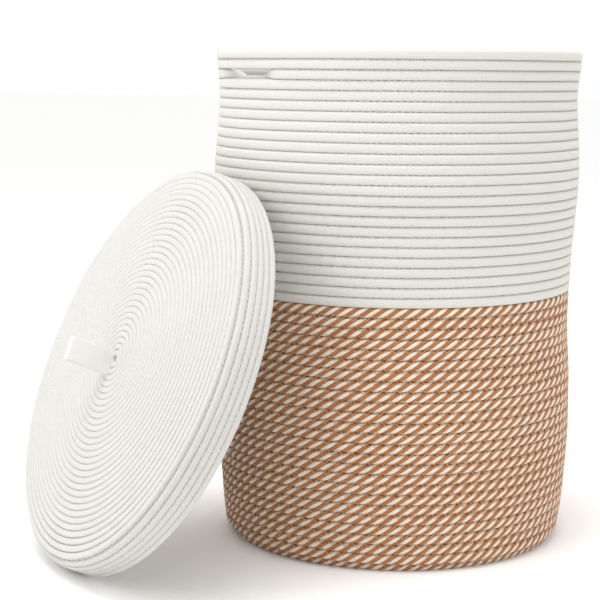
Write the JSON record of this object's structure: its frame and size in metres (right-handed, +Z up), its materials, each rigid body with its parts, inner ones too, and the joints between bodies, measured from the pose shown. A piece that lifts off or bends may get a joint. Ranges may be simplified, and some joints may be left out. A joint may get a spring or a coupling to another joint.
{
  "type": "laundry hamper with lid",
  "caption": "Round coiled-rope laundry hamper with hand slots in a two-colour wall and a lift-off lid with a webbing pull loop, leaning against the basket.",
  "frame": {"origin": "centre of the basket's base on the floor", "axes": "+Z up along the basket's axis; +X to the right of a viewer who looks along +Y at the leaning lid's left-hand side"},
  "size_m": [0.6268, 0.558, 0.5487],
  "materials": {
    "two_tone_cotton_rope": "twisted cotton rope, strands of off-white and caramel",
    "white_cotton_rope": "braided cotton rope, matt off-white",
    "fine_white_cotton_rope": "fine braided cotton rope, matt off-white",
    "tan_sewing_thread": "polyester sewing thread, tan",
    "white_sewing_thread": "polyester sewing thread, white",
    "cotton_webbing": "woven cotton webbing, matt off-white"
  },
  "bodies": {
    "basket": {"base_coil": "two_tone_cotton_rope", "base_stitching": "tan_sewing_thread", "lower_wall_coil": "two_tone_cotton_rope", "lower_wall_stitching": "tan_sewing_thread", "upper_wall_coil": "white_cotton_rope", "upper_wall_stitching": "white_sewing_thread", "handle_row_coil": "white_cotton_rope", "rim_coil": "white_cotton_rope", "rim_stitching": "white_sewing_thread"},
    "lid": {"lid_top_coil": "fine_white_cotton_rope", "lid_skirt_coil": "fine_white_cotton_rope", "lid_top_stitching": "white_sewing_thread", "lid_skirt_stitching": "white_sewing_thread", "pull_loop_tails": "cotton_webbing", "pull_loop_stitching": "white_sewing_thread"},
    "pull_loop": {"pull_loop": "cotton_webbing"}
  },
  "joints": [
    {"name": "lid_lift", "type": "slide", "parent": "basket", "child": "lid", "axis": [-0.6272, -0.3265, 0.7071], "range_m": [0, 0.4]},
    {"name": "pull_loop_fold", "type": "hinge", "parent": "lid", "child": "pull_loop", "pos_m": [-0.31071, -0.15724, 0.21732], "axis": [-0.2751, -0.339, -0.8997], "range_deg": [-60, 60]}
  ]
}
